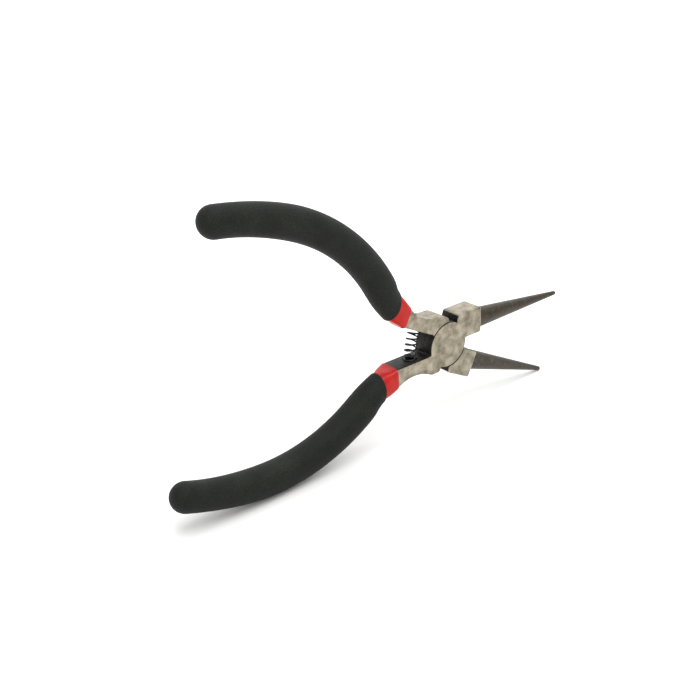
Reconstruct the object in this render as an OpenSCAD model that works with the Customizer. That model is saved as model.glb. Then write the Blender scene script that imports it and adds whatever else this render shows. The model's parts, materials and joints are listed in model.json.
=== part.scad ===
// Round nose pliers with bow handles, standing on edge and held open by a
// return spring. Both levers are one forging: the front one is the rear one
// turned over. Each is drawn with the pliers closed, its handle above the
// centre line and its jaw below it, then turned to the open pose.
// X runs from the handles to the jaws, Y from the front face to the back,
// Z is up; the lower grip and the lower jaw's tip stand on Z = 0.

/* [Joint] */
// Radius of each disc of the lap joint
disc_r = 6.75; // [6:0.05:7.2]
// Thickness of the head, necks and shoulders
head_t = 6.4; // [5.6:0.1:7.2]
// Gap between the two discs
lap_gap = 0.1; // [0.06:0.02:0.2]
// Gap round each disc in the other lever's seat
seat_gap = 0.1; // [0.06:0.02:0.2]
// Radius of the rivet
rivet_r = 2.2; // [1.6:0.1:2.6]
// Radial clearance of the rivet in the rear lever
rivet_fit = 0.04; // [0.01:0.01:0.1]
// Depth and extra radius of the rivet's countersunk heads
rivet_csk = 0.7; // [0.4:0.1:1]
// Angle between the levers in the standing pose
rest_open = 27.9; // [20:0.2:34]

/* [Jaws] */
// Distance from the pivot to the front of the shoulders
shoulder_x = 12.9; // [12:0.1:14]
// Height of each shoulder from the centre line
shoulder_h = 7.8; // [7.2:0.05:8.2]
// Where the outer corner of the shoulder starts
shoulder_back = 4.05; // [3.8:0.1:4.8]
// Half of the gap left between the closed jaws
jaw_gap = 0.1; // [0.05:0.01:0.2]
// Radius of the round jaw at its root
jaw_root_r = 3.05; // [2.4:0.05:3.2]
// Radius of the round jaw at its tip
jaw_tip_r = 0.65; // [0.5:0.05:1.2]
// Distance from the pivot to the centre of the rounded tip
jaw_reach = 48.3; // [40:0.5:54]

/* [Necks] */
// Height of the neck's inner face above the centre line
neck_in = 1.5; // [1.3:0.1:1.8]
// Height of the neck's outer face beside the joint
neck_out = 7.35; // [7:0.05:7.8]
// Distance from the pivot to the narrowest place of the neck
waist_x = 13.2; // [12.6:0.1:13.8]
// Height of the outer face at the narrowest place
waist_z = 5.35; // [5:0.05:5.8]
// Radius of the hollow in the neck's outer face
waist_r = 12; // [11:0.5:14]

/* [Handles] */
// Width of the steel core in the plane of the pliers
core_w = 3.4; // [2.8:0.1:3.8]
// Thickness of the steel core
core_t = 4.6; // [4:0.1:5]
// Radius of the bend that turns the handle outwards
bend_r = 30.5; // [28:0.5:34]
// Radius of the bow under the palm
bow_r = 52; // [48:0.5:56]
// Radius of the flatter end of the bow
tail_r = 80; // [70:1:100]
// Radius of the black grip under the palm
grip_r = 4.45; // [4.3:0.05:4.8]
// Radius of the black grip at its edge by the collar
grip_edge_r = 4.0; // [3.9:0.05:4.1]
// Radius of the black grip where its end starts to round off
grip_end_r = 4.0; // [3.9:0.05:4.3]
// Thickness of the black layer
grip_skin = 0.4; // [0.3:0.05:0.5]
// Distance from the pivot to the edge of the red collar
collar_x = 19.4; // [18.8:0.1:19.8]
// Distance from the pivot to the edge of the black grip
grip_x = 23.8; // [23:0.1:24.6]

/* [Spring] */
// Distance from the pivot to the spring's axis
spring_x = 11.9; // [11.4:0.1:12.4]
// Wire diameter
spring_wire = 0.5; // [0.4:0.05:0.55]
// Outside diameter of the coil
spring_d = 3.6; // [3:0.1:3.8]
// Number of turns
spring_turns = 7; // [5:0.5:7.5]
// Depth of the round seat for each end of the spring
spring_seat = 0.5; // [0.3:0.05:0.6]

/* [Hidden] */
eps = 0.01;
// directions of the handle's centre line, upwards from level, going outwards
dir_start = 12;
dir_bend = 36;
dir_bow = -7;
dir_tail = -21.6;
// start of the handle's centre line: [x, z]
path_start = [-17, 3.9];

// the handle's centre line: three arcs, each with its place and direction
function along(c, r, a) = [c[0] + r * sin(a), c[1] + r * cos(a)];
bend_c = along(path_start, bend_r, dir_start);
bend_end = along(bend_c, -bend_r, dir_bend);
bow_c = along(bend_end, -bow_r, dir_bend);
bow_end = along(bow_c, bow_r, dir_bow);
tail_c = along(bow_end, -tail_r, dir_bow);
tail_end = along(tail_c, tail_r, dir_tail);
bend_len = bend_r * (dir_bend - dir_start) * PI / 180;
bow_len = bow_r * (dir_bend - dir_bow) * PI / 180;
tail_len = tail_r * (dir_bow - dir_tail) * PI / 180;
path_len = bend_len + bow_len + tail_len;
function path_dir(s) = s < bend_len ? dir_start + s / bend_r * 180 / PI
    : s < bend_len + bow_len ? dir_bend - (s - bend_len) / bow_r * 180 / PI
    : dir_bow - (s - bend_len - bow_len) / tail_r * 180 / PI;
function path_at(s) = s < bend_len ? along(bend_c, -bend_r, path_dir(s))
    : s < bend_len + bow_len ? along(bow_c, bow_r, path_dir(s))
    : along(tail_c, tail_r, path_dir(s));
// how far along the centre line a distance x from the pivot is, on the bend
function path_from(x) = (asin((x + bend_c[0]) / bend_r) - dir_start) * bend_r * PI / 180;

// the round jaw: slope of its axis when its inner side is level
jaw_len = jaw_reach - shoulder_x;
jaw_slope = asin((jaw_root_r - jaw_tip_r) / jaw_len);
jaw_tip_z = -(jaw_gap + jaw_tip_r);
jaw_sunk = 1.5;

// heights below the pivot of the lower grip and of the lower jaw's tip when
// the closed centre line slopes down by s towards the jaws
function grip_low(s) = bow_c[0] * sin(rest_open / 2 - s)
    - bow_c[1] * cos(rest_open / 2 - s) - bow_r - grip_r;
function tip_low(s) = -jaw_reach * sin(rest_open / 2 + s)
    + jaw_tip_z * cos(rest_open / 2 + s) - jaw_tip_r;
function level(a, b, n) = n == 0 ? (a + b) / 2
    : grip_low((a + b) / 2) < tip_low((a + b) / 2)
    ? level((a + b) / 2, b, n - 1) : level(a, (a + b) / 2, n - 1);
stand = level(0, 30, 40);
front_turn = -(rest_open / 2 - stand);
rear_turn = rest_open / 2 + stand;
pivot_z = -grip_low(stand);
// the pivot's place along X, with the middle of the whole length at X = 0
tail_x = tail_end[0] * cos(front_turn) - tail_end[1] * sin(front_turn) - grip_end_r;
nose_x = jaw_reach * cos(front_turn) - jaw_tip_z * sin(front_turn) + jaw_tip_r;
pivot_x = -(tail_x + nose_x) / 2;

// the levers outside the joint
neck_end = 20.4;
// the inner face turns outwards with the handle from here: [x, z]
neck_turn = [-19.2, neck_in];
neck_slope = 0.56;
neck_corner = 3.4;
neck_foot = [-2.8, 5.6];
shoulder_foot = [3.3, -5.7];
function neck_in_at(x) = neck_in + neck_slope * max(0, x + neck_turn[0]);
rivet_head_r = rivet_r + rivet_csk;
// the core stops this far short of the end of the centre line
core_short = 3;
core_steps = 36;
// the grip grows from its edge to the palm, and narrows towards its end
grow_len = 8;
narrow_len = 26;
grip_from = path_from(grip_x);
skin_sides = 28;
bow_rings = 26;
end_rings = 6;
end_last = 84;
function ease(t) = let (u = max(0, min(1, t))) u * u * (3 - 2 * u);
function grip_size(s) = grip_edge_r + (grip_r - grip_edge_r) * ease((s - grip_from) / grow_len)
    - (grip_r - grip_end_r) * ease((s - path_len + narrow_len) / narrow_len);
// the red collar: a rounded block on the neck, round where the grip starts
collar_wall = 0.5;
// the steel is this much lower on each face where the coat covers it
coat_step = 0.1;
collar_rings = 6;
collar_square = 5;
collar_low = neck_in_at(collar_x) - collar_wall;
collar_high = waist_z + waist_r + collar_wall
    - sqrt(pow(waist_r, 2) - pow(collar_x - waist_x, 2));
// a ring of points round the place c, in a plane square to the direction d:
// half as wide as w, half as thick as t, squarer as p rises above 2
function ring(c, d, w, t, p) = [for (k = [0:skin_sides - 1])
    let (a = 360 * (k + 0.5) / skin_sides,
        q = pow(pow(abs(cos(a)), p) + pow(abs(sin(a)), p), -1 / p),
        u = w * q * cos(a))
    [c[0] + u * sin(d), t * q * sin(a), c[1] + u * cos(d)]];
// a ring of the grip's surface less a layer: level at the edge, then square on
function grip_ring(s, layer) =
    let (d = path_dir(s) * ease((s - grip_from) / grow_len), w = grip_size(s) - layer)
    ring(path_at(s), d, w / cos(path_dir(s) - d), w, 2);
function end_ring(a, layer) = let (w = grip_end_r - layer)
    ring(along(tail_end, w * sin(a), dir_tail - 90), dir_tail, w * cos(a), w * cos(a), 2);
function grip_rings(layer) = concat(
    [for (i = [0:bow_rings]) grip_ring(grip_from + (path_len - grip_from) * i / bow_rings, layer)],
    [for (i = [1:end_rings]) end_ring(end_last * i / end_rings, layer)]);
function turned(v) = [for (i = [len(v) - 1:-1:0]) v[i]];
function collar_ring(t) = let (
        x = collar_x + (grip_x - collar_x) * t,
        mid = path_at(grip_from)[1] * t + (collar_low + collar_high) / 2 * (1 - t),
        w = (grip_edge_r - grip_skin) / cos(path_dir(grip_from)) * t
            + (collar_high - collar_low) / 2 * (1 - t),
        h = (grip_edge_r - grip_skin) * t + (head_t / 2 + collar_wall) * (1 - t))
    ring([-x, mid], 0, w, h, 2 * t + collar_square * (1 - t));

// the spring: its seat floors lie this far from the centre line when closed
seat_z = neck_in + spring_seat;
seat_r = spring_d / 2 + 0.25;
coil_r = (spring_d - spring_wire) / 2;
// the coil's axis bows from seat to seat, square to both seat floors
seat_dir = atan(seat_z / spring_x) + rest_open / 2;
seat_dist = sqrt(pow(spring_x, 2) + pow(seat_z, 2));
axis_r = seat_dist * sin(seat_dir) / sin(rest_open / 2);
axis_x = axis_r * cos(rest_open / 2) - seat_dist * cos(seat_dir);
axis_len = axis_r * rest_open * PI / 180 - spring_wire - 2 * eps;
wire_sides = 10;
turn_steps = 20;
coil_rings = spring_turns * turn_steps;
// closed turn at each end, then an even pitch
end_turns = 0.9;
end_pitch = spring_wire + eps;
mid_pitch = (axis_len - 2 * end_turns * end_pitch) / (spring_turns - 2 * end_turns);
function rise(n) = end_pitch * min(n, end_turns)
    + mid_pitch * max(0, min(n, spring_turns - end_turns) - end_turns)
    + end_pitch * max(0, n - spring_turns + end_turns);
// a ring of the wire's surface after n turns
function wire_ring(n) = [for (k = [0:wire_sides - 1])
    let (a = 360 * k / wire_sides,
        out = coil_r + spring_wire / 2 * cos(a),
        h = rise(n) + spring_wire / 2 * sin(a),
        lean = (h - axis_len / 2) / axis_r * 180 / PI,
        r = axis_r - out * cos(360 * n))
    [axis_x - r * cos(lean), out * sin(360 * n), r * sin(lean)]];

steel = "#b9b2a4";
dark_wire = "#26252a";
red_dip = "#cf3a33";
black_dip = "#3c3d3b";

// ---- placing ----
module at_pivot() { translate([pivot_x, 0, pivot_z]) children(); }
module as_rear() { at_pivot() rotate([0, rear_turn, 0]) children(); }
module as_front() {
    at_pivot() rotate([0, front_turn, 0]) rotate([180, 0, 0]) children();
}

// a plate cut to a shape drawn in X and Z, centred on Y = 0
module plate(t) {
    rotate([90, 0, 0]) translate([0, 0, -t / 2]) linear_extrude(t) children();
}
// a round bar along Y from y0 to y1
module bar_y(r0, r1, y0, y1) {
    translate([0, y0, 0]) rotate([-90, 0, 0])
        cylinder(h = y1 - y0, r1 = r0, r2 = r1, $fn = 96);
}
// a closed surface over a list of rings, flat over the first and the last
module skin(rings) {
    n = len(rings[0]);
    last = (len(rings) - 1) * n;
    points = [for (r = rings) for (p = r) p];
    sides = [for (i = [0:len(rings) - 2], k = [0:n - 1])
        [i * n + k, i * n + (k + 1) % n, (i + 1) * n + (k + 1) % n, (i + 1) * n + k]];
    polyhedron(points, concat(sides, [[for (k = [n - 1:-1:0]) k]],
        [[for (k = [0:n - 1]) last + k]]));
}

// ---- levers ----
module neck_shape() {
    difference() {
        polygon([[-neck_end, neck_in_at(neck_end)], [neck_turn[0], neck_in], [0, neck_in], neck_foot,
            [-neck_corner, neck_out], [-neck_end, neck_out]]);
        translate([-waist_x, waist_z + waist_r]) circle(waist_r, $fn = 96);
    }
}
module shoulder_shape() {
    polygon([[0, -jaw_gap], [shoulder_x, -jaw_gap], [shoulder_x, -shoulder_h],
        [shoulder_back, -shoulder_h], shoulder_foot]);
}
module round_jaw() {
    translate([jaw_reach, 0, jaw_tip_z]) sphere(jaw_tip_r, $fn = 48);
    translate([jaw_reach, 0, jaw_tip_z]) rotate([0, -90 - jaw_slope, 0])
        cylinder(h = jaw_len + jaw_sunk, r1 = jaw_tip_r,
            r2 = jaw_root_r + jaw_sunk * sin(jaw_slope), $fn = 96);
}
module core() {
    side = [for (i = [0:core_steps]) i * (path_len - core_short) / core_steps];
    plate(core_t) polygon(concat(
        [for (s = side) along(path_at(s), core_w / 2, path_dir(s))],
        [for (s = turned(side)) along(path_at(s), -core_w / 2, path_dir(s))]));
}
module spring_hole() {
    translate([-spring_x, 0, neck_in - 1]) cylinder(h = 1 + spring_seat, r = seat_r, $fn = 48);
}
module rivet_body(extra) {
    bar_y(rivet_r + extra, rivet_r + extra, -head_t / 2, head_t / 2);
    bar_y(rivet_head_r + extra, rivet_r + extra, -head_t / 2, -head_t / 2 + rivet_csk);
    bar_y(rivet_r + extra, rivet_head_r + extra, head_t / 2 - rivet_csk, head_t / 2);
}
// one lever, its own disc at the back
module lever(fit) {
    difference() {
        union() {
            plate(head_t) { circle(disc_r, $fn = 96); neck_shape(); shoulder_shape(); }
            round_jaw();
            core();
        }
        for (side = [-1, 1]) translate([-neck_end - 1, side * head_t / 2, 0])
            translate([0, -coat_step, 0])
            cube([neck_end + 1 - collar_x + coat_step, 2 * coat_step, 2 * neck_out]);
        bar_y(disc_r + seat_gap, disc_r + seat_gap, -head_t, lap_gap / 2);
        rivet_body(fit);
        spring_hole();
    }
}
module front_lever() { color(steel) as_front() lever(0); }
module rear_lever() { color(steel) as_rear() lever(rivet_fit); }
module pivot_rivet() { color(steel) at_pivot() rivet_body(0); }

// ---- grips ----
module liner() {
    difference() {
        skin(concat([for (i = [0:collar_rings - 1]) collar_ring(i / collar_rings)],
            grip_rings(grip_skin)));
        core();
        plate(head_t - 2 * coat_step) neck_shape();
    }
}
// inside from the end to the edge, then outside from the edge to the end
module grip() { skin(concat(turned(grip_rings(grip_skin)), grip_rings(0))); }
module liner_lower() { color(red_dip) as_front() liner(); }
module liner_upper() { color(red_dip) as_rear() liner(); }
module grip_lower() { color(black_dip) as_front() grip(); }
module grip_upper() { color(black_dip) as_rear() grip(); }

// ---- spring ----
module coil() { skin([for (i = [0:coil_rings]) wire_ring(i / turn_steps)]); }
module return_spring() { color(dark_wire) at_pivot() rotate([0, stand, 0]) coil(); }

front_lever();
rear_lever();
pivot_rivet();
return_spring();
liner_lower();
liner_upper();
grip_lower();
grip_upper();
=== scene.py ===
"""Round nose pliers with dipped bow handles, standing on edge and held open.

Both levers are one forging: the front one is the rear one turned over. Each
is drawn closed, in millimetres, with the rivet's centre as its origin, its
handle above the centre line and its jaw below it, then turned to its place.
"""
import json
import logging
from dataclasses import dataclass, field
from enum import Enum, IntEnum
from math import asin, atan2, cos, degrees, dist, hypot, pi, radians, sin, sqrt, tau
from typing import Sequence

import bmesh
import bpy
from mathutils import Matrix, Vector


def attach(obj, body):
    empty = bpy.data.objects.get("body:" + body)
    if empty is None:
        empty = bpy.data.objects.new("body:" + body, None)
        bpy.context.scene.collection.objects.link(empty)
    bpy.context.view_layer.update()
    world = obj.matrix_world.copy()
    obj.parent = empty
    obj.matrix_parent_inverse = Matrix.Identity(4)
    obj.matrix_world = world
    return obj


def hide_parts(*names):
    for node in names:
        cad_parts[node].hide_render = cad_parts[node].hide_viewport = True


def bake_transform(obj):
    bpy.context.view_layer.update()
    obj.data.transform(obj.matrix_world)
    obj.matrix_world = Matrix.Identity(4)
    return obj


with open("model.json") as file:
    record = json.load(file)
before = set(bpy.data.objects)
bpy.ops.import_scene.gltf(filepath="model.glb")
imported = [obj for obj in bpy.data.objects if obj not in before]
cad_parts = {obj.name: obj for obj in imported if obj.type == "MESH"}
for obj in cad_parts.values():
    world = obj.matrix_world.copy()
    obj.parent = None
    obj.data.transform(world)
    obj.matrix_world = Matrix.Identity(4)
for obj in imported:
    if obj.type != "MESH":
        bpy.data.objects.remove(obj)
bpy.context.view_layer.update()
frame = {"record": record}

LOG = logging.getLogger("pliers")
MM = 0.001
Point = tuple[float, float]
Ring = list[Vector]
Socket = bpy.types.NodeSocket
Tree = bpy.types.NodeTree
Material = bpy.types.Material
Piece = bpy.types.Object
Work = bmesh.types.BMesh


# ---- small helpers ----

def hex_colour(code: str) -> tuple[float, float, float, float]:
    """Turn an sRGB hex colour into linear values.

    Args:
        code: Six hex digits, without a hash sign.

    Returns:
        Linear red, green, blue and an alpha of one.
    """
    parts = [int(code[i:i + 2], 16) / 255 for i in (0, 2, 4)]
    red, green, blue = (c / 12.92 if c <= 0.04045 else ((c + 0.055) / 1.055) ** 2.4
                        for c in parts)
    return red, green, blue, 1.0


def ease(t: float) -> float:
    """Return a smooth step from 0 to 1 as t goes from 0 to 1."""
    t = max(0.0, min(1.0, t))
    return t * t * (3 - 2 * t)


def mix(a: float, b: float, t: float) -> float:
    """Return the value a share t of the way from a to b."""
    return a + (b - a) * t


def add_node(tree: Tree, kind: str, inputs: dict | None = None,
             **settings: object) -> bpy.types.Node:
    """Add one node to a tree, with its settings and links.

    Args:
        tree: The node tree to add to.
        kind: The node's type, without the ShaderNode prefix.
        inputs: Input name or index to a value, or to the socket to link.
        **settings: Properties to set on the node.

    Returns:
        The new node.
    """
    node = tree.nodes.new("ShaderNode" + kind)
    for name, value in settings.items():
        setattr(node, name, value)
    for name, value in (inputs or {}).items():
        if isinstance(value, Socket):
            tree.links.new(value, node.inputs[name])
        else:
            node.inputs[name].default_value = value
    return node


def new_material(name: str) -> tuple[Material, Tree, Socket]:
    """Make an empty node material.

    Args:
        name: The material's name.

    Returns:
        The material, its node tree, and the socket of places in metres.
    """
    material = bpy.data.materials.new(name)
    material.use_nodes = True
    tree = material.node_tree
    tree.nodes.clear()
    return material, tree, add_node(tree, "TexCoord").outputs["Object"]


def mottle(tree: Tree, place: Socket, size_mm: float, **inputs: float) -> Socket:
    """Add a noise whose patches have a real size.

    Args:
        tree: The node tree to add to.
        place: The socket of places in metres.
        size_mm: The size of one patch.
        **inputs: The noise's Detail, Roughness and Distortion.

    Returns:
        The noise's value, from 0 to 1.
    """
    return add_node(tree, "TexNoise", {
        "Vector": place, "Scale": 1 / (size_mm * MM), **inputs}).outputs["Fac"]


def overlay(tree: Tree, fine: Socket, share: float, coarse: Socket) -> Socket:
    """Add a share of a fine noise to a coarse one.

    Args:
        tree: The node tree to add to.
        fine: The fine noise.
        share: How much of it is added.
        coarse: The coarse noise.

    Returns:
        The sum's socket.
    """
    return add_node(tree, "Math", {0: fine, 1: share, 2: coarse},
                    operation="MULTIPLY_ADD").outputs[0]


def ramp(tree: Tree, factor: Socket, levels: Sequence[float],
         codes: Sequence[str]) -> Socket:
    """Add a colour ramp.

    Args:
        tree: The node tree to add to.
        factor: The socket that drives the ramp.
        levels: Where each colour sits, in order.
        codes: The colours in hex, in the same order.

    Returns:
        The ramp's colour socket.
    """
    node = add_node(tree, "ValToRGB", {"Fac": factor})
    line = node.color_ramp
    while len(line.elements) < len(levels):
        line.elements.new(0.5)
    for element, level, code in zip(line.elements, levels, codes):
        element.position = level
        element.color = hex_colour(code)
    return node.outputs["Color"]


def add_surface(tree: Tree, inputs: dict,
                relief: tuple[Socket, float, float] | None = None) -> None:
    """Add the shader, its relief and the material's output.

    Args:
        tree: The node tree to add to.
        inputs: The shader's inputs.
        relief: Height socket, strength and depth in mm of a bump.
    """
    if relief:
        height, strength, depth = relief
        inputs["Normal"] = add_node(tree, "Bump", {
            "Strength": strength, "Distance": depth * MM, "Height": height}).outputs[0]
    shader = add_node(tree, "BsdfPrincipled", inputs)
    add_node(tree, "OutputMaterial", {"Surface": shader.outputs["BSDF"]})


# ---- finishes ----
# In each, levels says where its colours sit on the noise that mixes them.

@dataclass(frozen=True)
class TumbledSteel:
    """Drop-forged carbon steel, belt ground flat and then tumbled.

    Grinding levels the faces and tumbling with stones dulls them, which gives
    the eye a warm, satin grey with cloudy patches and no grinding lines.
    """

    name: str = "tumbled_steel"
    light: str = "a9a191"
    mean: str = "8b8474"
    dull: str = "655f53"
    levels: tuple[float, ...] = (0.42, 0.62, 0.84)
    roughness: tuple[float, float] = (0.30, 0.46)
    rough_levels: tuple[float, float] = (0.3, 0.7)
    cloud_mm: float = 2.6
    # stone marks are about 0.05 mm; drawn at 0.16 mm so that they show
    grit_mm: float = 0.16
    grit_share: float = 0.28
    bump: float = 0.5
    bump_mm: float = 0.012

    def make(self) -> Material:
        """Build the material.

        Returns:
            The material.
        """
        material, tree, place = new_material(self.name)
        clouds = mottle(tree, place, self.cloud_mm, Detail=5.0, Roughness=0.6,
                        Distortion=0.15)
        grit = mottle(tree, place, self.grit_mm, Detail=2.0, Roughness=0.6)
        tone = overlay(tree, grit, self.grit_share, clouds)
        rough = add_node(tree, "MapRange", {
            "Value": clouds, "From Min": self.rough_levels[0],
            "From Max": self.rough_levels[1],
            "To Min": self.roughness[1], "To Max": self.roughness[0]}).outputs[0]
        add_surface(tree, {
            "Base Color": ramp(tree, tone, self.levels, (self.dull, self.mean, self.light)),
            "Metallic": 1.0, "Roughness": rough}, (tone, self.bump, self.bump_mm))
        return material


@dataclass(frozen=True)
class ForgeScale:
    """Carbon steel left with its black-brown forging and quenching scale.

    The grinder never reaches the joint's rim and the insides of the necks,
    so they stay dark and slightly sooty, with brown and grey patches.
    """

    name: str = "forge_scale"
    soot: str = "090806"
    mean: str = "15130f"
    rubbed: str = "312d26"
    levels: tuple[float, ...] = (0.46, 0.66, 0.92)
    # part bare metal, part scale
    metallic: float = 0.55
    roughness: float = 0.52
    patch_mm: float = 1.6
    # scale is grained at about 0.1 mm; drawn at 0.22 mm so that it shows
    grain_mm: float = 0.22
    grain_share: float = 0.35
    bump: float = 0.6
    bump_mm: float = 0.03

    def make(self) -> Material:
        """Build the material.

        Returns:
            The material.
        """
        material, tree, place = new_material(self.name)
        patches = mottle(tree, place, self.patch_mm, Detail=4.0, Roughness=0.65,
                         Distortion=0.6)
        grain = mottle(tree, place, self.grain_mm, Detail=3.0)
        tone = overlay(tree, grain, self.grain_share, patches)
        add_surface(tree, {
            "Base Color": ramp(tree, tone, self.levels, (self.soot, self.mean, self.rubbed)),
            "Metallic": self.metallic, "Roughness": self.roughness},
            (grain, self.bump, self.bump_mm))
        return material


@dataclass(frozen=True)
class TurnedJaw:
    """Carbon steel ground round on a spindle, then hardened and tempered.

    The heat leaves a grey-brown film over fine rings, so the cones look dark
    and dull beside the ground head.
    """

    name: str = "tempered_jaw"
    dark: str = "342f28"
    mean: str = "403a31"
    light: str = "4e473d"
    levels: tuple[float, ...] = (0.48, 0.72, 0.98)
    # the film covers part of the metal
    metallic: float = 0.8
    roughness: float = 0.43
    patch_mm: float = 1.8
    # grinding rings are under 0.1 mm apart; drawn at 0.3 mm so that they show
    ring_mm: float = 0.3
    ring_share: float = 0.45
    # how many times longer the marks are around the jaw than along it
    ring_stretch: tuple[float, float, float] = (1.0, 0.22, 0.22)
    bump: float = 0.6
    bump_mm: float = 0.012

    def make(self) -> Material:
        """Build the material.

        Returns:
            The material.
        """
        material, tree, place = new_material(self.name)
        stretched = add_node(tree, "Mapping", {
            "Vector": place, "Scale": self.ring_stretch}).outputs[0]
        rings = mottle(tree, stretched, self.ring_mm, Detail=2.0)
        patches = mottle(tree, place, self.patch_mm, Detail=4.0, Distortion=0.7)
        tone = overlay(tree, rings, self.ring_share, patches)
        add_surface(tree, {
            "Base Color": ramp(tree, tone, self.levels, (self.dark, self.mean, self.light)),
            "Metallic": self.metallic, "Roughness": self.roughness},
            (rings, self.bump, self.bump_mm))
        return material


@dataclass(frozen=True)
class DippedVinyl:
    """Red plastisol (soft PVC) dip, the first coat on each handle.

    The hot metal sets the liquid in one glossy skin, which rounds over the
    steel's corners and varies a little in thickness, and so in depth of colour.
    """

    name: str = "red_vinyl_dip"
    red: str = "b51a12"
    deep: str = "a2130d"
    levels: tuple[float, ...] = (0.35, 0.65)
    roughness: float = 0.28
    ior: float = 1.53
    gloss: float = 0.22
    wave_mm: float = 3.0
    bump: float = 0.5
    bump_mm: float = 0.10

    def make(self) -> Material:
        """Build the material.

        Returns:
            The material.
        """
        material, tree, place = new_material(self.name)
        waves = mottle(tree, place, self.wave_mm, Detail=2.0)
        add_surface(tree, {
            "Base Color": ramp(tree, waves, self.levels, (self.deep, self.red)),
            "Roughness": self.roughness, "IOR": self.ior,
            "Specular IOR Level": self.gloss}, (waves, self.bump, self.bump_mm))
        return material


@dataclass(frozen=True)
class GrainedVinyl:
    """Black foamed plastisol, the second and outer coat on each handle.

    Tiny bubbles set in the skin, so it is matte with a fine, even grain that
    catches a dusty grey light where it faces the sky.
    """

    name: str = "black_foam_dip"
    dark: str = "121310"
    mean: str = "191b17"
    dust: str = "292b26"
    levels: tuple[float, ...] = (0.45, 0.70, 0.98)
    roughness: float = 0.6
    ior: float = 1.5
    gloss: float = 0.12
    # the bubbles are 0.1 to 0.2 mm; drawn at 0.3 mm so that they show
    grain_mm: float = 0.30
    cloud_mm: float = 7.0
    cloud_share: float = 0.4
    bump: float = 0.7
    bump_mm: float = 0.07

    def make(self) -> Material:
        """Build the material.

        Returns:
            The material.
        """
        material, tree, place = new_material(self.name)
        grain = mottle(tree, place, self.grain_mm, Detail=3.0, Roughness=0.7)
        clouds = mottle(tree, place, self.cloud_mm, Detail=3.0)
        tone = overlay(tree, clouds, self.cloud_share, grain)
        add_surface(tree, {
            "Base Color": ramp(tree, tone, self.levels, (self.dark, self.mean, self.dust)),
            "Roughness": self.roughness, "IOR": self.ior,
            "Specular IOR Level": self.gloss}, (grain, self.bump, self.bump_mm))
        return material


@dataclass(frozen=True)
class BlackSpringWire:
    """Music wire with a black oxide finish, coiled cold.

    The oxide is thin over smooth drawn wire, so it is black with a tight
    highlight along each turn.
    """

    name: str = "black_oxide_wire"
    black: str = "17171a"
    # on the wire this colour is lighter streaks of worn oxide
    wear_and_highlight: str = "2f3036"
    levels: tuple[float, ...] = (0.4, 0.75)
    metallic: float = 0.7
    roughness: float = 0.32
    streak_mm: float = 0.35

    def make(self) -> Material:
        """Build the material.

        Returns:
            The material.
        """
        material, tree, place = new_material(self.name)
        streaks = mottle(tree, place, self.streak_mm, Detail=2.0)
        add_surface(tree, {
            "Base Color": ramp(tree, streaks, self.levels, (self.black, self.wear_and_highlight)),
            "Metallic": self.metallic, "Roughness": self.roughness})
        return material


@dataclass(frozen=True)
class PaleTable:
    """A pale grey laminate table, matte, which gives soft shadows only."""

    name: str = "pale_table"
    codes: tuple[str, str] = ("e8e8e6", "eaeae8")
    roughness: float = 0.9
    speck_mm: float = 25.0

    def make(self) -> Material:
        """Build the material.

        Returns:
            The material.
        """
        material, tree, place = new_material(self.name)
        speck = mottle(tree, place, self.speck_mm, Detail=1.0)
        add_surface(tree, {
            "Base Color": ramp(tree, speck, (0.0, 1.0), self.codes),
            "Roughness": self.roughness, "Specular IOR Level": 0.0})
        return material


# ---- mesh code ----

def make_object(name: str, work: Work, materials: Sequence[Material]) -> Piece:
    """Turn a bmesh into an object in the scene.

    Args:
        name: The piece's name.
        work: The bmesh, which is freed.
        materials: Its materials, in slot order.

    Returns:
        The new object.
    """
    bmesh.ops.recalc_face_normals(work, faces=work.faces)
    for face in work.faces:
        face.smooth = True
    mesh = bpy.data.meshes.new(name)
    work.to_mesh(mesh)
    work.free()
    for material in materials:
        mesh.materials.append(material)
    piece = bpy.data.objects.new(name, mesh)
    bpy.context.scene.collection.objects.link(piece)
    return piece


def loft(work: Work, rings: Sequence[Ring]) -> None:
    """Join rings of points with faces, and cap the first and the last.

    Args:
        work: The bmesh to add to.
        rings: Rings with the same number of points, in order.
    """
    made = [[work.verts.new(p) for p in ring] for ring in rings]
    for one, two in zip(made, made[1:]):
        for k in range(len(one)):
            n = (k + 1) % len(one)
            work.faces.new((one[k], one[n], two[n], two[k]))
    work.faces.new(list(reversed(made[0])))
    work.faces.new(made[-1])


def circle(sides: int, shift: float = 0.0) -> list[Point]:
    """Return the cosine and sine of evenly spaced angles.

    Args:
        sides: How many there are in one turn.
        shift: How far the first one is turned, as a share of one step.

    Returns:
        A pair for each angle.
    """
    return [(cos(tau * (k + shift) / sides), sin(tau * (k + shift) / sides))
            for k in range(sides)]


def combine(piece: Piece, other: Piece, operation: str) -> None:
    """Apply a boolean to a piece and delete the other object.

    Args:
        piece: The object that is changed.
        other: The object that cuts it or is joined to it.
        operation: DIFFERENCE or UNION.
    """
    modifier = piece.modifiers.new("combine", "BOOLEAN")
    modifier.operation = operation
    modifier.solver = "EXACT"
    modifier.object = other
    graph = bpy.context.evaluated_depsgraph_get()
    mesh = bpy.data.meshes.new_from_object(piece.evaluated_get(graph))
    piece.modifiers.clear()
    old = piece.data
    piece.data = mesh
    mesh.name = piece.name
    bpy.data.meshes.remove(old)
    bpy.data.objects.remove(other)


class Half(Enum):
    """The two halves of the pliers, by the body that each rides on."""

    FRONT = "front_half"
    REAR = "rear_half"


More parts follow.
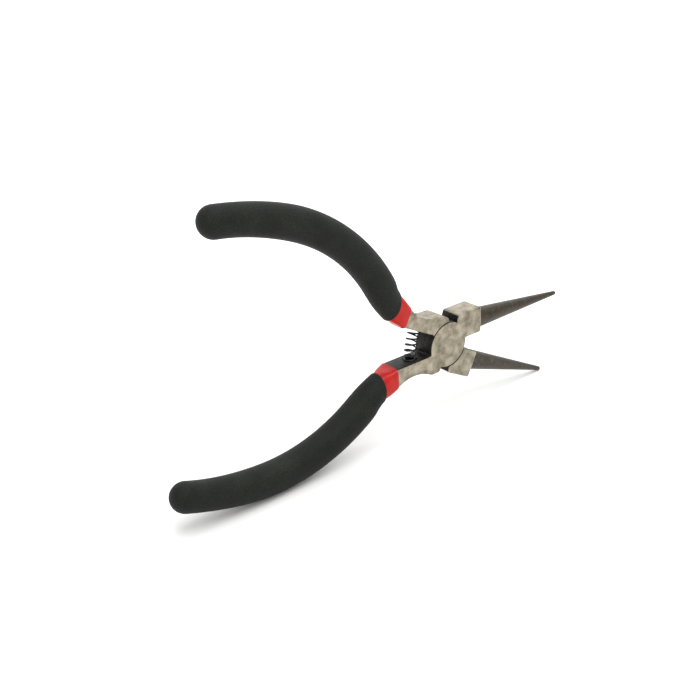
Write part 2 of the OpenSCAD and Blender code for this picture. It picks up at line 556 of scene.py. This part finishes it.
@dataclass(frozen=True)
class BowPath:
    """The centre line of a handle: a bend outwards, a bow and a flatter tail.

    Directions are in degrees above level, going outwards from the joint.
    """

    start: Point = (-17.0, 3.9)
    bend_r: float = 30.5
    bow_r: float = 52.0
    tail_r: float = 80.0
    start_dir: float = 12.0
    bend_dir: float = 36.0
    bow_dir: float = -7.0
    tail_dir: float = -21.6

    @staticmethod
    def along(centre: Point, r: float, angle: float) -> Point:
        """Return the point at a distance r from a centre, at an angle.

        Args:
            centre: The centre.
            r: The distance, negative for the opposite way.
            angle: Degrees from straight up towards the jaws.

        Returns:
            The point.
        """
        a = radians(angle)
        return centre[0] + r * sin(a), centre[1] + r * cos(a)

    def bow_centre(self) -> Point:
        """Find the centre of the bow's arc.

        Returns:
            The centre.
        """
        bend = self.along(self.start, self.bend_r, self.start_dir)
        joint = self.along(bend, -self.bend_r, self.bend_dir)
        return self.along(joint, -self.bow_r, self.bend_dir)

    def lengths(self) -> tuple[float, float, float]:
        """Work out how long the bend, the bow and the tail are.

        Returns:
            The three lengths.
        """
        return (radians(self.bend_dir - self.start_dir) * self.bend_r,
                radians(self.bend_dir - self.bow_dir) * self.bow_r,
                radians(self.bow_dir - self.tail_dir) * self.tail_r)

    def total(self) -> float:
        """Return the whole length."""
        return sum(self.lengths())

    def at(self, s: float) -> tuple[Point, float]:
        """Return a place on the centre line.

        Args:
            s: How far along it is.

        Returns:
            The point and the direction there.
        """
        first, second, _ = self.lengths()
        bend = self.along(self.start, self.bend_r, self.start_dir)
        if s < first:
            turn = self.start_dir + degrees(s / self.bend_r)
            return self.along(bend, -self.bend_r, turn), turn
        bow = self.bow_centre()
        if s < first + second:
            turn = self.bend_dir - degrees((s - first) / self.bow_r)
            return self.along(bow, self.bow_r, turn), turn
        joint = self.along(bow, self.bow_r, self.bow_dir)
        tail = self.along(joint, -self.tail_r, self.bow_dir)
        turn = self.bow_dir - degrees((s - first - second) / self.tail_r)
        return self.along(tail, self.tail_r, turn), turn

    def at_x(self, x: float) -> float:
        """Find a place on the bend by its distance from the rivet.

        Args:
            x: How far back from the rivet it is.

        Returns:
            How far along the centre line it is.
        """
        bend = self.along(self.start, self.bend_r, self.start_dir)
        turn = degrees(asin((x + bend[0]) / self.bend_r))
        return radians(turn - self.start_dir) * self.bend_r


@dataclass(frozen=True)
class Stance:
    """How the open pliers stand: the rivet's place and each half's turn."""

    path: BowPath
    # the grip's radius at the bow, where it stands on the table
    grip_r: float
    open_deg: float = 27.9
    pivot: Vector = field(default_factory=lambda: Vector(
        frame["record"]["behaviour"]["joints"][0]["pos_m"]))

    def slope(self) -> float:
        """Work out how far the closed centre line slopes down to the jaws.

        The lower grip's bow stands on the table, so the rivet's height tells
        how far the front half is turned.

        Returns:
            The slope in radians.
        """
        x, z = self.path.bow_centre()
        drop = self.pivot.z / MM - self.path.bow_r - self.grip_r
        turned = asin(drop / hypot(x, z)) - atan2(z, -x)
        return radians(self.open_deg / 2) - turned

    def matrix(self, half: Half) -> Matrix:
        """Return the matrix from a half's drawing in mm to the scene.

        Args:
            half: The half that is placed.

        Returns:
            A matrix that scales, turns and moves.
        """
        sign = 1 if half is Half.REAR else -1
        turn = sign * radians(self.open_deg / 2)
        over = Matrix.Rotation(0 if half is Half.REAR else pi, 4, "X")
        return self.middle() @ Matrix.Rotation(turn, 4, "Y") @ over

    def middle(self) -> Matrix:
        """Return the matrix from the closed centre line in mm to the scene."""
        return (Matrix.Translation(self.pivot) @ Matrix.Rotation(self.slope(), 4, "Y")
                @ Matrix.Scale(MM, 4))


# ---- sub-assemblies ----

class Finish(IntEnum):
    """The material slots of a lever: three finishes and a painted highlight."""

    GROUND = 0
    SCALE = 1
    JAW = 2
    # painted highlight: lighter steel on the rims of the shoulder's nose
    EDGE = 3


@dataclass
class Lever:
    """One steel forging: handle core, neck, half of the joint, round jaw."""

    half: Half
    stance: Stance
    path: BowPath
    materials: Sequence[Material]
    disc_r: float = 6.75
    thick: float = 6.4
    lap_gap: float = 0.1
    seat_gap: float = 0.1
    shoulder_x: float = 12.9
    shoulder_h: float = 7.8
    shoulder_back: float = 4.05
    shoulder_foot: Point = (3.3, -5.7)
    jaw_gap: float = 0.1
    jaw_root_r: float = 3.05
    jaw_tip_r: float = 0.65
    jaw_reach: float = 48.3
    neck_in: float = 1.5
    neck_out: float = 7.35
    neck_end: float = 20.4
    neck_turn: float = 19.2
    neck_slope: float = 0.56
    neck_corner: float = 3.4
    neck_foot: Point = (-2.8, 5.6)
    waist: tuple[float, float, float] = (13.2, 5.35, 12.0)
    core_w: float = 3.4
    core_t: float = 4.6
    core_short: float = 3.0
    # how far the core and the cone run into the plate, so that they join
    core_sunk: float = 1.5
    jaw_sunk: float = 1.5
    rim: float = 0.16
    rivet_r: float = 2.2
    rivet_csk: float = 0.7
    rivet_fit: float = 0.04
    spring_x: float = 11.9
    spring_seat: float = 0.5
    spring_seat_r: float = 2.05
    # how far from each corner the tumbling has worn it
    wear_nose: float = 0.3
    wear_shoulder: float = 0.25
    wear_brow: float = 1.3
    wear_throat: float = 0.8
    wear_waist: float = 1.4
    wear_passes: int = 12
    # the grinder reaches the neck's back and the shoulder's end past these
    neck_ground_z: float = 5.0
    neck_ground_back: float = 0.6
    shoulder_ground_z: float = -6.5
    # and only faces that face it; 1 is square to it
    neck_facing: float = 0.3
    shoulder_facing: float = 0.5
    # faces this near to the front or back face, or to the nose, are rims
    rim_band: float = 0.3
    # rims this near to the joint's seam are left with their scale
    seam_band: float = 0.25
    overrun: float = 1.0
    step: float = 0.2
    rim_steps: int = 3
    core_steps: int = 48
    tip_steps: int = 8
    cone_steps: int = 12
    jaw_sides: int = 72
    disc_sides: int = 128
    bore_sides: int = 96
    seat_sides: int = 48
    sharp_deg: float = 28.0

    def on_disc(self, inside: Point, outside: Point) -> Point:
        """Find where a line leaves the disc.

        Args:
            inside: A point inside the disc.
            outside: A point outside it.

        Returns:
            The point on the disc's rim.
        """
        low, high = 0.0, 1.0
        for _ in range(40):
            t = (low + high) / 2
            x, z = mix(inside[0], outside[0], t), mix(inside[1], outside[1], t)
            low, high = (t, high) if hypot(x, z) < self.disc_r else (low, t)
        return x, z

    def arc(self, start: Point, end: Point, centre: Point = (0.0, 0.0),
            clockwise: bool = True) -> list[Point]:
        """Sample an arc between two points at the same distance from a centre.

        Args:
            start: Where it starts.
            end: Where it ends.
            centre: Its centre.
            clockwise: Which way it goes.

        Returns:
            Points from start to end.
        """
        r = hypot(start[0] - centre[0], start[1] - centre[1])
        a = atan2(start[1] - centre[1], start[0] - centre[0])
        b = atan2(end[1] - centre[1], end[0] - centre[0])
        sweep = (a - b) % tau if clockwise else (b - a) % tau
        count = max(2, round(r * sweep / self.step))
        sign = -1 if clockwise else 1
        return [(centre[0] + r * cos(a + sign * sweep * i / count),
                 centre[1] + r * sin(a + sign * sweep * i / count))
                for i in range(count + 1)]

    def inner_at(self, x: float) -> float:
        """Return the height of the neck's inner face, x back from the rivet."""
        return self.neck_in + self.neck_slope * max(0.0, x - self.neck_turn)

    def throat(self) -> Point:
        """Return the corner between the disc and the neck's inner face."""
        return -sqrt(self.disc_r ** 2 - self.neck_in ** 2), self.neck_in

    def waist_half(self) -> float:
        """Return half the width of the waist's hollow, where it leaves the neck."""
        _, wz, wr = self.waist
        return sqrt(wr ** 2 - (wz + wr - self.neck_out) ** 2)

    def outline(self) -> list[Point]:
        """Draw the lever's outline in the plane, unrounded.

        Returns:
            Its points, clockwise.
        """
        gap, h = -self.jaw_gap, self.shoulder_h
        heel = self.on_disc(self.shoulder_foot, (self.shoulder_back, -h))
        rim_x = sqrt(self.disc_r ** 2 - self.jaw_gap ** 2)
        brow = self.on_disc(self.neck_foot, (-self.neck_corner, self.neck_out))
        wx, wz, wr = self.waist
        dx = self.waist_half()
        top = (-wx - dx, self.neck_out)
        points: list[Point] = [(self.shoulder_x, gap), (self.shoulder_x, -h),
                               (self.shoulder_back, -h)]
        points += self.arc(heel, self.throat())
        points += [(-self.neck_turn, self.neck_in),
                   (-self.neck_end, self.inner_at(self.neck_end)),
                   (-self.neck_end, self.neck_out)]
        points += self.arc(top, (-wx + dx, self.neck_out), (-wx, wz + wr), clockwise=False)
        points.append((-self.neck_corner, self.neck_out))
        points += self.arc(brow, (rim_x, gap))
        return points

    def worn_outline(self) -> list[Point]:
        """Sample the outline evenly and round its corners.

        Returns:
            The points, clockwise.
        """
        corners = {(self.shoulder_x, -self.jaw_gap): self.wear_nose,
                   (self.shoulder_x, -self.shoulder_h): self.wear_shoulder,
                   (self.shoulder_back, -self.shoulder_h): self.wear_shoulder,
                   (-self.neck_corner, self.neck_out): self.wear_brow,
                   self.throat(): self.wear_throat,
                   (-self.waist[0] + self.waist_half(), self.neck_out): self.wear_waist}
        points = self.outline()
        fine: list[Point] = []
        for one, two in zip(points, points[1:] + points[:1]):
            length = dist(one, two)
            if length < self.step / 1e5:
                continue
            count = max(1, round(length / self.step))
            fine += [(mix(one[0], two[0], i / count), mix(one[1], two[1], i / count))
                     for i in range(count)]
        weights = [max((1 - dist(p, c) / reach
                        for c, reach in corners.items()
                        if dist(p, c) < reach), default=0.0) for p in fine]
        for _ in range(self.wear_passes):
            fine = [(mix(p[0], (a[0] + b[0]) / 2, w), mix(p[1], (a[1] + b[1]) / 2, w))
                    if w else p
                    for a, p, b, w in zip(fine[-1:] + fine[:-1], fine,
                                          fine[1:] + fine[:1], weights)]
        return fine

    def plate(self) -> Work:
        """Make the outline into a plate with softened rims.

        Returns:
            The solid.
        """
        points = self.worn_outline()
        count = len(points)
        normals = []
        for i in range(count):
            a, b = points[i - 1], points[(i + 1) % count]
            along = Vector((b[0] - a[0], b[1] - a[1])).normalized()
            normals.append((-along[1], along[0]))
        half_t = self.thick / 2
        levels = []
        for k in range(self.rim_steps + 1):
            turn = pi / 2 * k / self.rim_steps
            levels.append((half_t - self.rim * (1 - sin(turn)), self.rim * (1 - cos(turn))))
        profile = [(-y, cut) for y, cut in reversed(levels)] + levels
        work = bmesh.new()
        loft(work, [[Vector((x - n[0] * cut, y, z - n[1] * cut))
                     for (x, z), n in zip(points, normals)] for y, cut in profile])
        return work

    def core(self) -> Work:
        """Make the flat steel core that runs down inside the dips.

        Returns:
            The solid.
        """
        first = self.path.at_x(self.neck_end) - self.core_sunk
        last = self.path.total() - self.core_short
        y = self.core_t / 2
        rings = []
        for i in range(self.core_steps + 1):
            place, turn = self.path.at(mix(first, last, i / self.core_steps))
            low, high = (self.path.along(place, sign * self.core_w / 2, turn)
                         for sign in (-1, 1))
            rings.append([Vector((low[0], -y, low[1])), Vector((high[0], -y, high[1])),
                          Vector((high[0], y, high[1])), Vector((low[0], y, low[1]))])
        work = bmesh.new()
        loft(work, rings)
        return work

    def jaw(self) -> Work:
        """Make the round jaw: a long cone with a rounded tip.

        Returns:
            The solid.
        """
        length = self.jaw_reach - self.shoulder_x
        slope = asin((self.jaw_root_r - self.jaw_tip_r) / length)
        tip = Vector((self.jaw_reach, 0, -(self.jaw_gap + self.jaw_tip_r)))
        axis = Vector((-cos(slope), 0, -sin(slope)))
        side = Vector((-axis.z, 0, axis.x))
        profile = []
        for k in range(1, self.tip_steps + 1):
            turn = mix(pi / 2, -slope, k / self.tip_steps)
            profile.append((-self.jaw_tip_r * sin(turn), self.jaw_tip_r * cos(turn)))
        for k in range(1, self.cone_steps + 1):
            s = (length + self.jaw_sunk) * k / self.cone_steps
            profile.append((s, self.jaw_tip_r + s * sin(slope)))
        rings = [[tip + axis * s + side * (r * ca) + Vector((0, r * sa, 0))
                  for ca, sa in circle(self.jaw_sides)] for s, r in profile]
        work = bmesh.new()
        loft(work, rings)
        return work

    @staticmethod
    def turned_bar(profile: Sequence[Point], sides: int) -> Work:
        """Make a solid of revolution about the rivet's axis.

        Args:
            profile: Height along Y and radius of each ring, in order.
            sides: How many points each ring has.

        Returns:
            The solid.
        """
        work = bmesh.new()
        loft(work, [[Vector((r * ca, y, r * sa)) for ca, sa in circle(sides)]
                    for y, r in profile])
        return work

    def seat_cutter(self) -> Work:
        """Make what is milled away for the other lever's disc.

        Returns:
            The solid.
        """
        r = self.disc_r + self.seat_gap
        face = -self.thick / 2
        return self.turned_bar([(face - self.overrun, r + self.rim), (face, r + self.rim),
                                (face + self.rim, r), (self.lap_gap / 2, r)],
                               self.disc_sides)

    def bore_cutter(self) -> Work:
        """Make the countersunk bore for the rivet.

        Returns:
            The solid.
        """
        fit = self.rivet_fit if self.half is Half.REAR else 0.0
        r, h, wide = self.rivet_r + fit, self.thick / 2, self.rivet_csk
        end, end_r = h + self.overrun, r + wide + self.overrun
        return self.turned_bar([(-end, end_r), (-h + wide, r), (h - wide, r), (end, end_r)],
                               self.bore_sides)

    def spring_cutter(self) -> Work:
        """Make the round seat for one end of the spring.

        Returns:
            The solid.
        """
        work = bmesh.new()
        r = self.spring_seat_r
        loft(work, [[Vector((-self.spring_x + r * ca, r * sa, z))
                     for ca, sa in circle(self.seat_sides)]
                    for z in (self.neck_in - self.overrun, self.neck_in + self.spring_seat)])
        return work

    def finish_of(self, face: bpy.types.MeshPolygon) -> Finish:
        """Choose the finish of one face, or the painted highlight of the nose's rims, still
        in the drawing's place.

        Args:
            face: The face.

        Returns:
            Its finish, or the painted highlight.
        """
        x, y, z = face.center
        n = face.normal
        upright, tilted = 0.97, 0.1
        if x > self.shoulder_x + self.jaw_gap / 2:
            return Finish.JAW
        if abs(n.y) > tilted and abs(y) > self.thick / 2 - self.rim_band:
            if abs(n.y) > upright:
                return Finish.GROUND
            if abs(hypot(x, z) - self.disc_r - self.seat_gap) < self.seam_band:
                return Finish.SCALE
            # the nose's rims get lighter steel, a painted highlight
            return Finish.EDGE if x > self.shoulder_x - self.rim_band else Finish.GROUND
        on_neck = (z > self.neck_ground_z and n.z > self.neck_facing
                   and x < -self.neck_corner - self.neck_ground_back)
        on_shoulder = (z < self.shoulder_ground_z and -n.z > self.shoulder_facing
                       and x > self.shoulder_back)
        return Finish.GROUND if on_neck or on_shoulder else Finish.SCALE

    def build(self) -> Piece:
        """Build the lever, dress it and put it in its place.

        Returns:
            The piece, which rides on its half.
        """
        name = "lever_" + self.half.name.lower()
        piece = make_object(name, self.plate(), self.materials)
        for cutter in (self.seat_cutter(), self.bore_cutter(), self.spring_cutter()):
            combine(piece, make_object("cutter", cutter, []), "DIFFERENCE")
        for part in (self.jaw(), self.core()):
            combine(piece, make_object("part", part, []), "UNION")
        mesh = piece.data
        mesh.materials.clear()
        for material in self.materials:
            mesh.materials.append(material)
        for face in mesh.polygons:
            face.material_index = int(self.finish_of(face))
        mesh.transform(self.stance.matrix(self.half))
        mesh.shade_smooth()
        mesh.set_sharp_from_angle(angle=radians(self.sharp_deg))
        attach(piece, self.half.value)
        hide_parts("front_lever" if self.half is Half.FRONT else "rear_lever")
        return piece


@dataclass
class PivotRivet:
    """The hinge rivet, its countersunk heads ground flush with the discs."""

    lever: Lever
    stance: Stance
    material: Material
    # how far the heads stay below the faces
    below: float = 0.01

    def build(self) -> Piece:
        """Build the rivet.

        Returns:
            The piece, which rides on the front half.
        """
        size = self.lever
        h, r, wide = size.thick / 2, size.rivet_r, size.rivet_csk
        end, end_r = h - self.below, r + wide - self.below
        work = size.turned_bar([(-end, end_r), (-h + wide, r), (h - wide, r), (end, end_r)],
                               size.bore_sides)
        piece = make_object("rivet", work, [self.material])
        piece.data.transform(self.stance.matrix(Half.REAR))
        piece.data.set_sharp_from_angle(angle=radians(size.sharp_deg))
        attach(piece, Half.FRONT.value)
        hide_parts("pivot_rivet")
        return piece


@dataclass
class ReturnSpring:
    """The coil that opens the pliers, bowed from seat to seat."""

    lever: Lever
    stance: Stance
    material: Material
    wire: float = 0.5
    outside: float = 3.6
    turns: float = 7.0
    end_turns: float = 0.9
    spare: float = 0.01
    # the cut ends are dressed off, so the wire is this much slimmer there
    end_slim: float = 0.8
    slim_steps: int = 3
    # how much of each end stays still in its seat, in wire widths
    held: float = 1.3
    wire_sides: int = 14
    turn_steps: int = 40
    sharp_deg: float = 50.0

    def rise(self, n: float, length: float) -> float:
        """Return how far the wire has climbed after n turns.

        Args:
            n: Turns from the start.
            length: The climb of all the turns.

        Returns:
            The climb in mm.
        """
        tight = self.wire + self.spare
        pitch = (length - 2 * self.end_turns * tight) / (self.turns - 2 * self.end_turns)
        return (tight * min(n, self.end_turns)
                + pitch * max(0.0, min(n, self.turns - self.end_turns) - self.end_turns)
                + tight * max(0.0, n - self.turns + self.end_turns))

    def build(self) -> Piece:
        """Build the coil.

        Returns:
            The piece.
        """
        open_half = radians(self.stance.open_deg / 2)
        seat_z = self.lever.neck_in + self.lever.spring_seat
        seat_dir = atan2(seat_z, self.lever.spring_x) + open_half
        seat_far = hypot(self.lever.spring_x, seat_z)
        axis_r = seat_far * sin(seat_dir) / sin(open_half)
        axis_x = axis_r * cos(open_half) - seat_far * cos(seat_dir)
        length = axis_r * 2 * open_half - self.wire - 2 * self.spare
        coil_r = (self.outside - self.wire) / 2
        rings = []
        count = round(self.turns * self.turn_steps)
        for i in range(count + 1):
            n = i / self.turn_steps
            spin = tau * n
            ring = []
            slim = mix(self.end_slim, 1.0, ease(min(i, count - i) / self.slim_steps))
            wire_r = slim * self.wire / 2
            for ca, sa in circle(self.wire_sides):
                out = coil_r + wire_r * ca
                lean = (self.rise(n, length) + wire_r * sa - length / 2) / axis_r
                r = axis_r - out * cos(spin)
                ring.append(Vector((axis_x - r * cos(lean), out * sin(spin), r * sin(lean))))
            rings.append(ring)
        work = bmesh.new()
        loft(work, rings)
        piece = make_object("return_coil", work, [self.material])
        piece.data.transform(self.stance.middle())
        piece.data.set_sharp_from_angle(angle=radians(self.sharp_deg))
        end_z = seat_far * sin(seat_dir) - self.held * self.wire
        ends = [self.stance.middle() @ Vector((-seat_far * cos(seat_dir), 0, z))
                for z in (-end_z, end_z)]
        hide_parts("return_spring")
        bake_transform(piece)
        return piece


@dataclass
class DippedHandle:
    """The two dips on one handle: a red inner coat and a black outer one."""

    half: Half
    stance: Stance
    path: BowPath
    lever: Lever
    red: Material
    black: Material
    palm_r: float = 4.45
    edge_r: float = 4.0
    end_r: float = 4.0
    skin: float = 0.4
    collar_x: float = 19.4
    grip_x: float = 23.8
    grow: float = 8.0
    narrow: float = 26.0
    collar_wall: float = 0.5
    # 2 is an ellipse, more is squarer
    collar_square: float = 5.0
    core_square: float = 12.0
    # the collar's bore round the steel: half sizes, and how deep it goes
    bore: tuple[float, float] = (2.2, 3.1)
    bore_deep: float = 1.5
    core_fit: float = 0.05
    core_lap: float = 3.0
    core_past: float = 0.1
    # the mouth's lip, as shares of the collar's length and of its wall
    mouth_start: float = -0.03
    mouth_round: float = 0.04
    mouth_thin: float = 0.6
    lip: float = 0.16
    lip_steps: int = 4
    end_steps: int = 12
    collar_steps: int = 16
    core_steps: int = 60
    sides: int = 72
    bow_rings: int = 150
    sharp_deg: float = 60.0

    def edge(self) -> float:
        """Return how far along the centre line the black edge is."""
        return self.path.at_x(self.grip_x)

    def size(self, s: float) -> float:
        """Work out how thick the handle is.

        Args:
            s: How far along the centre line.

        Returns:
            The black coat's radius there.
        """
        grown = ease((s - self.edge()) / self.grow)
        narrowed = ease((s - self.path.total() + self.narrow) / self.narrow)
        return (self.edge_r + (self.palm_r - self.edge_r) * grown
                - (self.palm_r - self.end_r) * narrowed)

    def ring(self, centre: Point, turn: float, wide: float, thick: float,
             power: float = 2.0) -> Ring:
        """Return a ring square to a direction.

        Args:
            centre: Its centre.
            turn: The direction it is square to, in degrees above level.
            wide: Half its width in the plane of the pliers.
            thick: Half its thickness.
            power: 2 for an ellipse, more for a squarer shape.

        Returns:
            The ring's points in mm.
        """
        points = []
        for c, s in circle(self.sides, 0.5):
            q = (abs(c) ** power + abs(s) ** power) ** (-1 / power)
            x, z = BowPath.along(centre, wide * q * c, turn)
            points.append(Vector((x, thick * q * s, z)))
        return points

    def coat_ring(self, s: float, layer: float) -> Ring:
        """Return a ring of the coat, less a layer, at a place along it.

        Args:
            s: How far along the centre line it is.
            layer: How much is taken off.

        Returns:
            The ring's points.
        """
        place, turn = self.path.at(s)
        flat = turn * ease((s - self.edge()) / self.grow)
        r = self.size(s) - layer
        return self.ring(place, flat, r / cos(radians(turn - flat)), r)

    def end_rings(self, layer: float) -> list[Ring]:
        """Return the rings of the rounded end.

        Args:
            layer: How much is taken off.

        Returns:
            The rings, from the widest to the last, which is small.
        """
        place, turn = self.path.at(self.path.total())
        r = self.end_r - layer
        rings = []
        for k in range(1, self.end_steps + 1):
            a = pi / 2 * k / (self.end_steps + 0.5)
            centre = BowPath.along(place, r * sin(a), turn - 90)
            rings.append(self.ring(centre, turn, r * cos(a), r * cos(a)))
        return rings

    def coat(self, layer: float, start: float) -> list[Ring]:
        """Return the rings of a coat.

        Args:
            layer: How much is taken off the black coat's size.
            start: Where it starts along the centre line.

        Returns:
            The rings from there to the handle's end.
        """
        total = self.path.total()
        return [self.coat_ring(mix(start, total, i / self.bow_rings), layer)
                for i in range(self.bow_rings + 1)] + self.end_rings(layer)

    def grip(self) -> Piece:
        """Build the black grip: a skin over the red coat, open at the collar.

        Returns:
            The piece.
        """
        inner = list(reversed(self.coat(self.skin, self.edge() + self.lip)))
        rim = []
        for k in range(1, self.lip_steps):
            a = pi * k / self.lip_steps
            layer = self.skin / 2 * (1 + cos(a))
            rim.append(self.coat_ring(self.edge() + self.lip * (1 - sin(a)), layer))
        work = bmesh.new()
        loft(work, inner + rim + self.coat(0.0, self.edge() + self.lip))
        return self.place(work, "grip_", self.black, "black_dip")

    def liner(self) -> Piece:
        """Build the red coat, seen as a collar between steel and grip.

        Returns:
            The piece.
        """
        lever = self.lever
        wx, wz, wr = lever.waist
        high = wz + wr - sqrt(wr ** 2 - (self.collar_x - wx) ** 2)
        low = lever.inner_at(self.collar_x)
        mid, tall = (low + high) / 2, (high - low) / 2
        edge_z = self.path.at(self.edge())[0][1]
        edge_turn = radians(self.path.at(self.edge())[1])
        r = self.edge_r - self.skin
        wall = self.collar_wall

        def collar(t: float, coat: float) -> Ring:
            """Return a ring of the collar.

            Args:
                t: 0 at the steel, 1 where the grip starts.
                coat: How thick the coat is over the steel.

            Returns:
                The ring's points.
            """
            return self.ring(
                (-mix(self.collar_x, self.grip_x, t), mix(mid, edge_z, t)), 0.0,
                mix(tall + coat, r / cos(edge_turn), ease(t)),
                mix(lever.thick / 2 + coat, r, ease(t)),
                mix(self.collar_square, 2.0, ease(t)))

        mouth = []
        for k in range(self.lip_steps + 1):
            a = pi / 2 * (1 - k / self.lip_steps)
            mouth.append(collar(self.mouth_round * (1 - cos(a)) + self.mouth_start,
                                wall * (1 - self.mouth_thin * sin(a))))
        outer = [collar(i / self.collar_steps, wall) for i in range(1, self.collar_steps)]
        bore = [self.ring((-self.collar_x - deep, mid), 0.0, *self.bore, self.collar_square)
                for deep in (self.bore_deep, 0.0)]
        core = []
        deepest = self.path.total() - lever.core_short + self.core_past
        for i in range(self.core_steps, -1, -1):
            s = mix(self.edge() - self.core_lap, deepest, i / self.core_steps)
            place, turn = self.path.at(s)
            core.append(self.ring(place, turn, lever.core_w / 2 + self.core_fit,
                                  lever.core_t / 2 + self.core_fit, self.core_square))
        work = bmesh.new()
        loft(work, core + bore + mouth + outer + self.coat(self.skin, self.edge()))
        return self.place(work, "liner_", self.red, "red_dip")

    def place(self, work: Work, kind: str, material: Material, slot: str) -> Piece:
        """Dress a coat and put it on its half.

        Args:
            work: The coat's mesh in mm.
            kind: The start of the CAD node's name.
            material: Its material.
            slot: The record's slot; not used.

        Returns:
            The finished piece.
        """
        side = "lower" if self.half is Half.FRONT else "upper"
        piece = make_object(kind + side + "_coat", work, [material])
        piece.data.transform(self.stance.matrix(self.half))
        piece.data.set_sharp_from_angle(angle=radians(self.sharp_deg))
        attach(piece, self.half.value)
        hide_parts(kind + side)
        return piece


@dataclass(frozen=True)
class SoftLight:
    """A broad light, far away. Width and directions are in degrees."""

    name: str
    strength: float
    width: float
    azimuth: float
    elevation: float

    def build(self) -> None:
        """Add the light to the scene."""
        lamp = bpy.data.lights.new(self.name, "SUN")
        lamp.energy = self.strength
        lamp.angle = radians(self.width)
        light = bpy.data.objects.new(self.name, lamp)
        light.rotation_euler = (radians(90 - self.elevation), 0, radians(self.azimuth))
        bpy.context.scene.collection.objects.link(light)


@dataclass
class Studio:
    """The pale table, the white room, its soft lights and the camera."""

    table_half: float = 4.0
    room: float = 1.0
    lights: tuple[SoftLight, ...] = (SoftLight("overhead", 2.2, 55.0, 30.0, 76.0),
                                     SoftLight("back", 0.7, 70.0, 142.0, 38.0))
    lens: float = 50.0
    sensor: float = 36.0
    nearest: float = 0.005
    eye: tuple[float, float, float] = (-0.15359, -0.18239, 0.13972)
    azimuth: float = -37.71
    elevation: float = 25.09
    roll: float = -2.86

    def table(self) -> Piece:
        """Build the table.

        Returns:
            The table, which only the pictures show.
        """
        work = bmesh.new()
        s = self.table_half
        work.faces.new([work.verts.new((x * s, y * s, 0.0))
                        for x, y in ((-1, -1), (1, -1), (1, 1), (-1, 1))])
        piece = make_object("table_top", work, [PaleTable().make()])
        return piece

    def white_room(self) -> None:
        """Surround the scene with even white light."""
        world = bpy.data.worlds.new("white_room")
        bpy.context.scene.world = world
        world.use_nodes = True
        tree = world.node_tree
        tree.nodes.clear()
        back = add_node(tree, "Background", {
            "Color": (1.0, 1.0, 1.0, 1.0), "Strength": self.room})
        add_node(tree, "OutputWorld", {"Surface": back.outputs[0]})

    def camera(self) -> None:
        """Put the camera at the handle end, looking down a little."""
        data = bpy.data.cameras.new("camera")
        data.lens = self.lens
        data.sensor_width = self.sensor
        data.clip_start = self.nearest
        camera = bpy.data.objects.new("camera", data)
        camera.matrix_world = (Matrix.Translation(self.eye)
                               @ Matrix.Rotation(radians(self.azimuth), 4, "Z")
                               @ Matrix.Rotation(radians(90 - self.elevation), 4, "X")
                               @ Matrix.Rotation(radians(self.roll), 4, "Z"))
        bpy.context.scene.collection.objects.link(camera)
        bpy.context.scene.camera = camera

    def build(self) -> None:
        """Set up the whole studio."""
        self.table()
        self.white_room()
        for light in self.lights:
            light.build()
        self.camera()
        bpy.context.scene.view_settings.view_transform = "Standard"


def main() -> None:
    """Build the pliers and the studio, and note the model's size."""
    logging.basicConfig(level=logging.INFO, format="%(name)s: %(message)s")
    path = BowPath()
    stance = Stance(path, DippedHandle.palm_r)
    ground = TumbledSteel().make()
    # a lighter copy of the ground steel, painted on the nose's rims as a highlight
    wear_and_highlight = TumbledSteel("painted_nose_highlight", "e0dac9", "cfc8b7", "b8b09e").make()
    lever_finishes_and_highlight = [ground, ForgeScale().make(), TurnedJaw().make(), wear_and_highlight]
    red, black = DippedVinyl().make(), GrainedVinyl().make()
    levers = {half: Lever(half, stance, path, lever_finishes_and_highlight) for half in Half}
    front = levers[Half.FRONT]
    pieces = [lever.build() for lever in levers.values()]
    pieces.append(PivotRivet(front, stance, ground).build())
    pieces.append(ReturnSpring(front, stance, BlackSpringWire().make()).build())
    for half in Half:
        handle = DippedHandle(half, stance, path, levers[half], red, black)
        pieces += [handle.liner(), handle.grip()]
    for piece in pieces:
        LOG.info("%s: %d faces", piece.name, len(piece.data.polygons))
    Studio().build()


if __name__ == "__main__":
    main()
